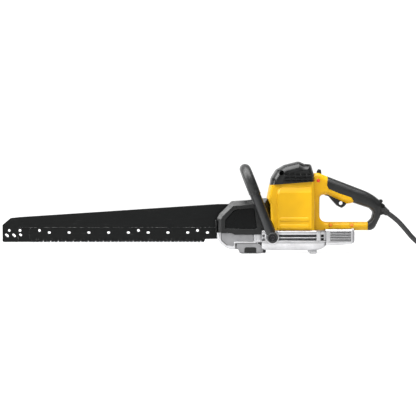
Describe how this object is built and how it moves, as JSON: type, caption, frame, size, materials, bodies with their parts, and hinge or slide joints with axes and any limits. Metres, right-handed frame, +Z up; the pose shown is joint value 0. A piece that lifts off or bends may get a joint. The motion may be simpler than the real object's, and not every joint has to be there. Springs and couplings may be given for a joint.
{
  "type": "reciprocating saw",
  "caption": "Corded masonry saw with a long guide bar between counter-moving toothed blades, an upright motor, a bail handle and a rear D-handle with trigger.",
  "frame": {"origin": "middle of the front shoe's sole, on the surface that the saw stands on", "axes": "+X from the bar's tip towards the rear handle, +Y to the saw's right side, +Z up"},
  "size_m": [1.0354, 0.2353, 0.1825],
  "materials": {
    "yellow_plastic": "satin moulded",
    "black_plastic": "fine spark-eroded texture",
    "grip_rubber": "soft matt",
    "cast_alloy": "die cast, tumbled",
    "black_steel": "black coated",
    "carbide": "ground",
    "black_tube": "black powder coat",
    "dark_screw": "black oxide",
    "bright_steel": "machined",
    "lamination": "lacquered laminations",
    "copper": "enamelled wire",
    "bronze": "sintered",
    "carbon": "graphite",
    "red_lens": "clear tinted",
    "cord_rubber": "extruded",
    "tie_plastic": "ribbed strap",
    "pin_metal": "nickel plated"
  },
  "bodies": {
    "saw": {"motor_housing": "yellow_plastic", "handle_shell_left": "yellow_plastic", "handle_shell_right": "yellow_plastic", "motor_cap": "black_plastic", "front_guard_left": "black_plastic", "front_guard_right": "black_plastic", "bearing_bridge": "black_plastic", "switch_body": "black_plastic", "brush_holders": "black_plastic", "cord_gland": "black_plastic", "grip_cover_left": "grip_rubber", "grip_cover_right": "grip_rubber", "bail_grip": "grip_rubber", "gear_case_upper": "cast_alloy", "gear_case_lower": "cast_alloy", "gear_plate": "cast_alloy", "tail_cover": "cast_alloy", "front_casting": "cast_alloy", "rear_feet": "cast_alloy", "guide_bar": "black_steel", "wear_plates": "black_steel", "bail_tube": "black_tube", "bail_bolts": "dark_screw", "bar_bolts": "dark_screw", "cap_screws": "dark_screw", "case_screws": "dark_screw", "handle_screws": "dark_screw", "shoe_pin": "dark_screw", "crank_bearing": "bright_steel", "upper_bearing": "bright_steel", "motor_bearings": "bright_steel", "trigger_pin": "bright_steel", "stator_core": "lamination", "field_coils": "copper", "slide_guides": "bronze", "carbon_brushes": "carbon", "indicator_lens": "red_lens", "cord": "cord_rubber", "cord_coil": "cord_rubber", "cord_boot": "cord_rubber", "plug": "cord_rubber", "cord_tie": "tie_plastic", "plug_pins": "pin_metal"},
    "blade_left_set": {"blade_left": "black_steel", "blade_left_tips": "carbide", "drive_bar_left": "bright_steel"},
    "blade_right_set": {"blade_right": "black_steel", "blade_right_tips": "carbide", "drive_bar_right": "bright_steel"},
    "armature": {"armature_shaft": "bright_steel", "armature_core": "lamination", "commutator": "copper", "cooling_fan": "black_plastic"},
    "crank": {"crank_gear": "bright_steel"},
    "trigger": {"trigger": "black_plastic"},
    "lock_off_button": {"lock_off_button": "black_plastic"},
    "shoe": {"shoe": "cast_alloy"},
    "latch_left": {"shoe_latch_left": "black_plastic"},
    "latch_right": {"shoe_latch_right": "black_plastic"}
  },
  "joints": [
    {"name": "armature_spin", "type": "hinge", "parent": "saw", "child": "armature", "pos_m": [0.079, 0, 0.09], "axis": [0, 0, 1], "continuous": true},
    {"name": "crank_spin", "type": "hinge", "parent": "saw", "child": "crank", "pos_m": [0.114, 0, 0.027], "axis": [0, 0, 1], "continuous": true},
    {"name": "blade_left_slide", "type": "slide", "parent": "saw", "child": "blade_left_set", "axis": [1, 0, 0], "range_m": [-0.02, 0.02]},
    {"name": "blade_right_slide", "type": "slide", "parent": "saw", "child": "blade_right_set", "axis": [1, 0, 0], "range_m": [-0.02, 0.02]},
    {"name": "trigger_pull", "type": "hinge", "parent": "saw", "child": "trigger", "pos_m": [0.1475, 0, 0.1206], "axis": [0, -1, 0], "range_deg": [0, 8], "stiffness_Nm_per_rad": 1.2, "springref_deg": -6.88},
    {"name": "lock_off_push", "type": "slide", "parent": "saw", "child": "lock_off_button", "axis": [0, 0, -1], "range_m": [0, 0.0045], "stiffness_N_per_m": 600, "springref_m": -0.003},
    {"name": "shoe_hinge", "type": "hinge", "parent": "saw", "child": "shoe", "pos_m": [0.0234, 0, 0.005], "axis": [0, -1, 0], "range_deg": [0, 75]},
    {"name": "latch_left_push", "type": "slide", "parent": "shoe", "child": "latch_left", "axis": [0, 1, 0], "range_m": [0, 0.003], "stiffness_N_per_m": 800, "springref_m": -0.002},
    {"name": "latch_right_push", "type": "slide", "parent": "shoe", "child": "latch_right", "axis": [0, -1, 0], "range_m": [0, 0.003], "stiffness_N_per_m": 800, "springref_m": -0.002}
  ],
  "couplings": [
    {"joint": "crank_spin", "follows": "armature_spin", "ratio": -0.25},
    {"joint": "blade_right_slide", "follows": "blade_left_slide", "ratio": -1}
  ]
}
